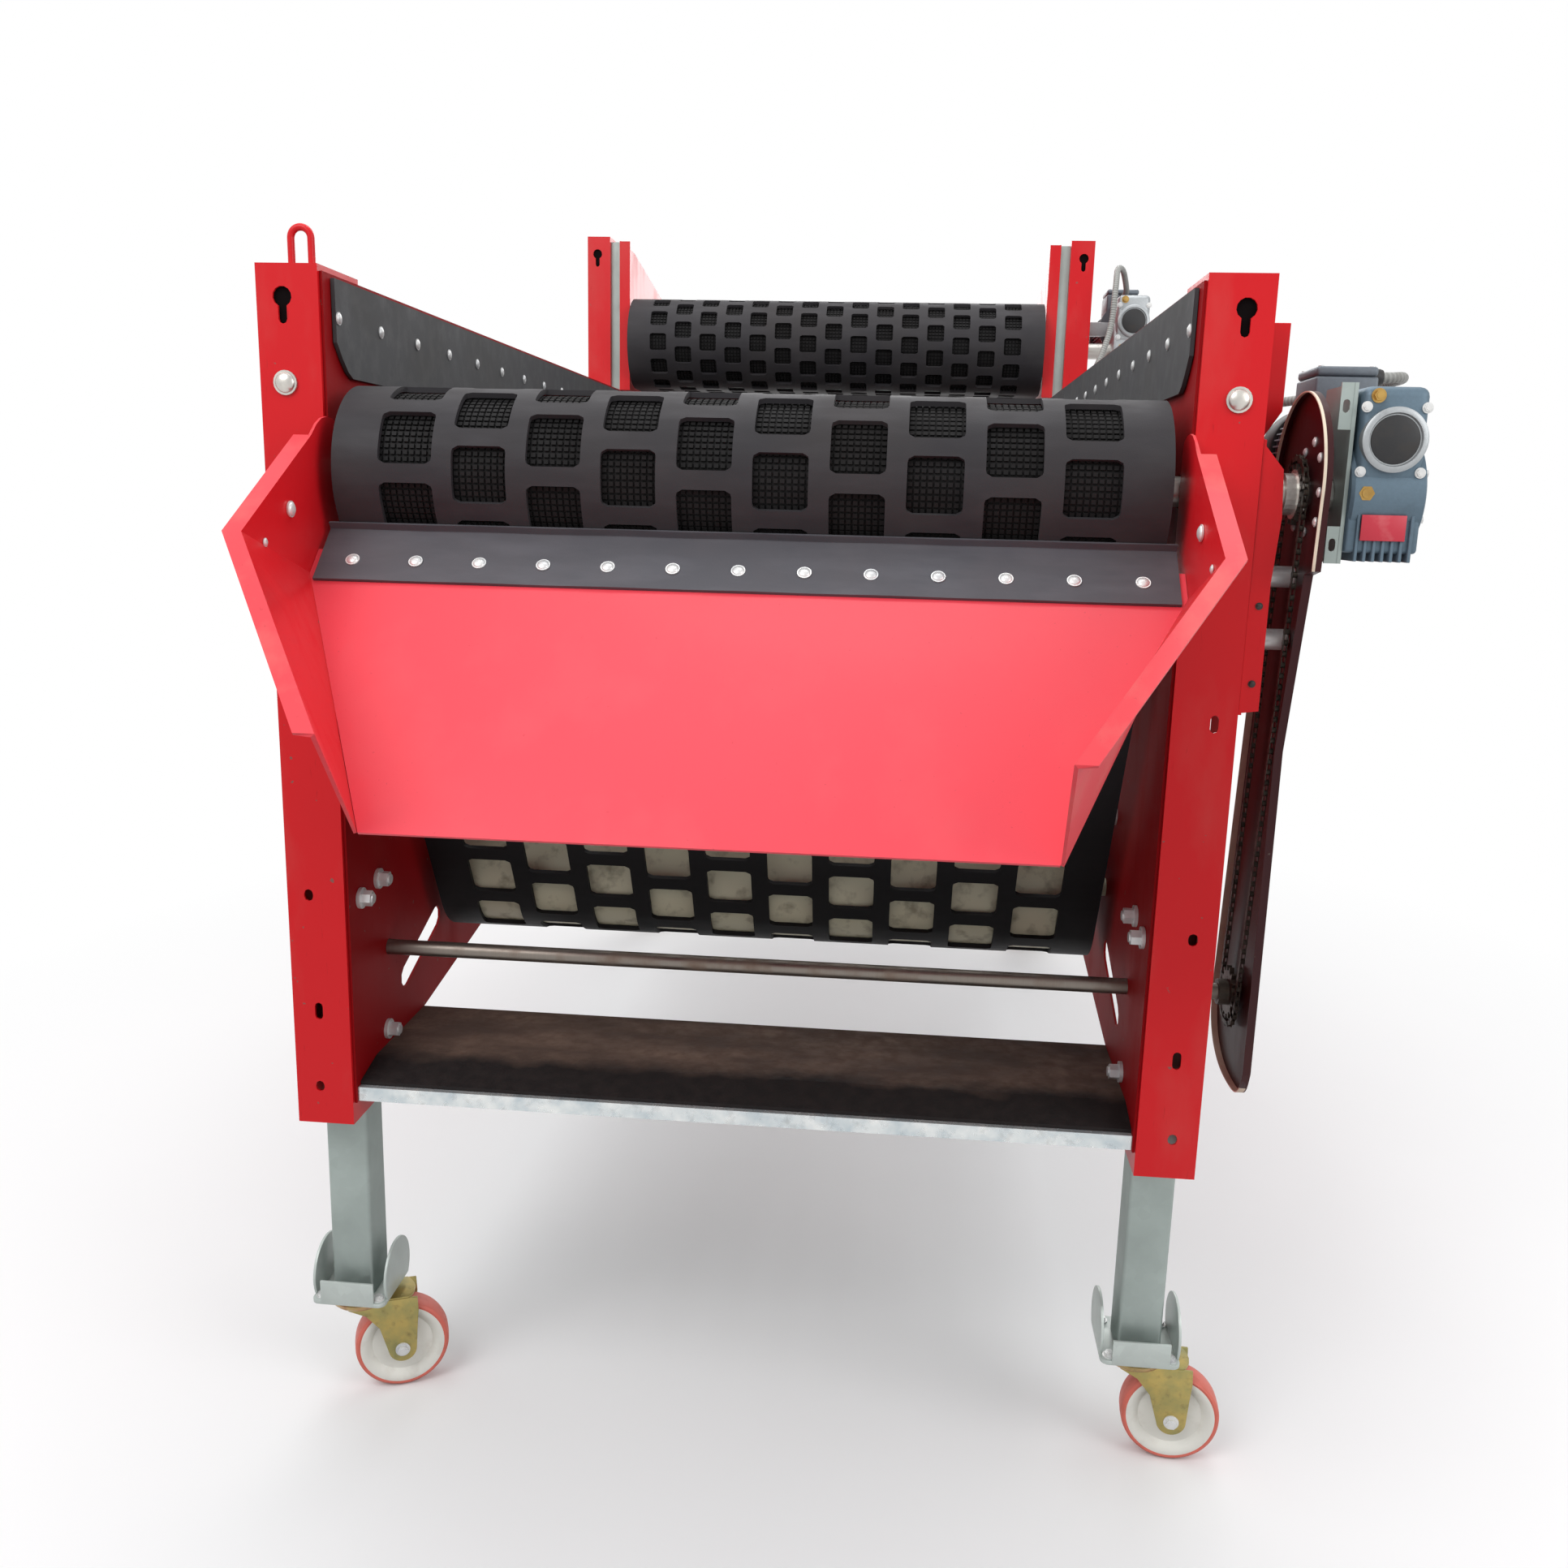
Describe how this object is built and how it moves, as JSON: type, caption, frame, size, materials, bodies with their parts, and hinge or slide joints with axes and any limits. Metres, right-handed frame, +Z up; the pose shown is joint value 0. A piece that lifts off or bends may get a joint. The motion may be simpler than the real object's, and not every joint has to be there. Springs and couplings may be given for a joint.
{
  "type": "belt grader",
  "caption": "Square-mesh belt grader on castors: fine mesh deck dropping onto a longer coarse mesh deck, with a red discharge chute, rubber skirts and gear motor drives.",
  "frame": {"origin": "on the floor, under the middle of the outer box", "axes": "+Z up, chute facing -Y, drive side at +X"},
  "size_m": [1.335, 2.6522, 1.764],
  "materials": {
    "red_paint": "gloss bright red paint on folded sheet steel, lightly scuffed",
    "maroon_paint": "dark maroon paint",
    "rubber": "worn black rubber with dust",
    "dusty_board": "dark sheet covered with dry soil dust",
    "galvanised": "dull galvanised steel",
    "bright_steel": "turned bright steel",
    "yellow_zinc": "yellow passivated zinc plate",
    "cast_aluminium": "cast, blue-grey",
    "motor_grey": "painted ribbed aluminium housing",
    "cream_plastic": "cream drum cover",
    "white_nylon": "white nylon wheel with a red tread band",
    "grey_conduit": "grey flexible conduit",
    "chain_steel": "oiled chain steel"
  },
  "bodies": {
    "frame": {"chain_guard": "maroon_paint", "chute_cheek_left": "red_paint", "chute_cheek_right": "red_paint", "chute_flap": "rubber", "chute_pan": "red_paint", "coarse_bearing_left": "cast_aluminium", "coarse_bearing_right": "cast_aluminium", "coarse_belt": "rubber", "cross_tray": "dusty_board", "drive_bracket": "red_paint", "drive_chain": "chain_steel", "fine_bearing_left": "cast_aluminium", "fine_bearing_right": "cast_aluminium", "fine_belt": "rubber", "front_beam": "red_paint", "front_gearbox": "cast_aluminium", "front_motor": "motor_grey", "front_post_left": "red_paint", "front_post_right": "red_paint", "lifting_eye": "red_paint", "mid_post_left": "red_paint", "mid_post_right": "red_paint", "mid_spacer_left": "galvanised", "mid_spacer_right": "galvanised", "motor_conduit": "grey_conduit", "rear_gearbox": "cast_aluminium", "rear_motor": "motor_grey", "side_plate_left": "red_paint", "side_plate_right": "red_paint", "skirt_left": "rubber", "skirt_right": "rubber", "tail_beam": "red_paint", "tail_post_left": "red_paint", "tail_post_right": "red_paint", "torque_arm": "galvanised", "tray_lip": "galvanised", "upper_plate_left": "red_paint", "upper_plate_right": "red_paint"},
    "coarse_drum_body": {"coarse_drum": "rubber", "coarse_shaft": "bright_steel", "drum_sprocket": "chain_steel"},
    "coarse_tail_body": {"coarse_tail_drum": "galvanised"},
    "lower_drum_body": {"lower_drum": "cream_plastic"},
    "fine_drum_body": {"fine_drum": "rubber", "fine_shaft": "bright_steel"},
    "fine_tail_body": {"fine_tail_drum": "galvanised"},
    "cross_shaft_body": {"cross_shaft": "bright_steel", "cross_sprocket": "chain_steel"},
    "leg_front_left_body": {"leg_front_left": "galvanised"},
    "fork_front_left_body": {"castor_fork_front_left": "yellow_zinc"},
    "wheel_front_left_body": {"castor_wheel_front_left": "white_nylon"},
    "leg_front_right_body": {"leg_front_right": "galvanised"},
    "fork_front_right_body": {"castor_fork_front_right": "yellow_zinc"},
    "wheel_front_right_body": {"castor_wheel_front_right": "white_nylon"},
    "leg_rear_left_body": {"leg_rear_left": "galvanised"},
    "fork_rear_left_body": {"castor_fork_rear_left": "yellow_zinc"},
    "wheel_rear_left_body": {"castor_wheel_rear_left": "white_nylon"},
    "leg_rear_right_body": {"leg_rear_right": "galvanised"},
    "fork_rear_right_body": {"castor_fork_rear_right": "yellow_zinc"},
    "wheel_rear_right_body": {"castor_wheel_rear_right": "white_nylon"}
  },
  "joints": [
    {"name": "coarse_drum_spin", "type": "hinge", "parent": "frame", "child": "coarse_drum_body", "pos_m": [-0.103, -0.873, 1.225], "axis": [1, 0, 0], "continuous": true},
    {"name": "coarse_tail_spin", "type": "hinge", "parent": "frame", "child": "coarse_tail_body", "pos_m": [-0.103, 0.712, 1.225], "axis": [1, 0, 0], "continuous": true},
    {"name": "lower_drum_spin", "type": "hinge", "parent": "frame", "child": "lower_drum_body", "pos_m": [-0.103, -0.573, 0.685], "axis": [1, 0, 0], "continuous": true},
    {"name": "fine_drum_spin", "type": "hinge", "parent": "frame", "child": "fine_drum_body", "pos_m": [-0.103, 0.712, 1.544], "axis": [1, 0, 0], "continuous": true},
    {"name": "fine_tail_spin", "type": "hinge", "parent": "frame", "child": "fine_tail_body", "pos_m": [-0.103, 1.2035, 1.544], "axis": [1, 0, 0], "continuous": true},
    {"name": "cross_shaft_spin", "type": "hinge", "parent": "frame", "child": "cross_shaft_body", "pos_m": [-0.103, -0.798, 0.62], "axis": [1, 0, 0], "continuous": true},
    {"name": "leg_front_left_slide", "type": "slide", "parent": "frame", "child": "leg_front_left_body", "axis": [0, 0, -1], "range_m": [0, 0.15]},
    {"name": "castor_front_left_swivel", "type": "hinge", "parent": "leg_front_left_body", "child": "fork_front_left_body", "pos_m": [-0.6175, -0.8385, 0.15], "axis": [0, 0, 1], "continuous": true},
    {"name": "wheel_front_left_spin", "type": "hinge", "parent": "fork_front_left_body", "child": "wheel_front_left_body", "pos_m": [-0.57114, -0.81977, 0.0625], "axis": [-0.3746, 0.9272, 0], "continuous": true},
    {"name": "leg_front_right_slide", "type": "slide", "parent": "frame", "child": "leg_front_right_body", "axis": [0, 0, -1], "range_m": [0, 0.15]},
    {"name": "castor_front_right_swivel", "type": "hinge", "parent": "leg_front_right_body", "child": "fork_front_right_body", "pos_m": [0.4115, -0.8385, 0.15], "axis": [0, 0, 1], "continuous": true},
    {"name": "wheel_front_right_spin", "type": "hinge", "parent": "fork_front_right_body", "child": "wheel_front_right_body", "pos_m": [0.46138, -0.84199, 0.0625], "axis": [0.0698, 0.9976, 0], "continuous": true},
    {"name": "leg_rear_left_slide", "type": "slide", "parent": "frame", "child": "leg_rear_left_body", "axis": [0, 0, -1], "range_m": [0, 0.15]},
    {"name": "castor_rear_left_swivel", "type": "hinge", "parent": "leg_rear_left_body", "child": "fork_rear_left_body", "pos_m": [-0.6175, 1.2315, 0.15], "axis": [0, 0, 1], "continuous": true},
    {"name": "wheel_rear_left_spin", "type": "hinge", "parent": "fork_rear_left_body", "child": "wheel_rear_left_body", "pos_m": [-0.58536, 1.2698, 0.0625], "axis": [-0.766, 0.6428, 0], "continuous": true},
    {"name": "leg_rear_right_slide", "type": "slide", "parent": "frame", "child": "leg_rear_right_body", "axis": [0, 0, -1], "range_m": [0, 0.15]},
    {"name": "castor_rear_right_swivel", "type": "hinge", "parent": "leg_rear_right_body", "child": "fork_rear_right_body", "pos_m": [0.4115, 1.2315, 0.15], "axis": [0, 0, 1], "continuous": true},
    {"name": "wheel_rear_right_spin", "type": "hinge", "parent": "fork_rear_right_body", "child": "wheel_rear_right_body", "pos_m": [0.45246, 1.26018, 0.0625], "axis": [-0.5736, 0.8192, 0], "continuous": true}
  ],
  "couplings": [
    {"joint": "coarse_tail_spin", "follows": "coarse_drum_spin", "ratio": 1},
    {"joint": "lower_drum_spin", "follows": "coarse_drum_spin", "ratio": 1},
    {"joint": "cross_shaft_spin", "follows": "coarse_drum_spin", "ratio": 1},
    {"joint": "fine_tail_spin", "follows": "fine_drum_spin", "ratio": 1}
  ]
}
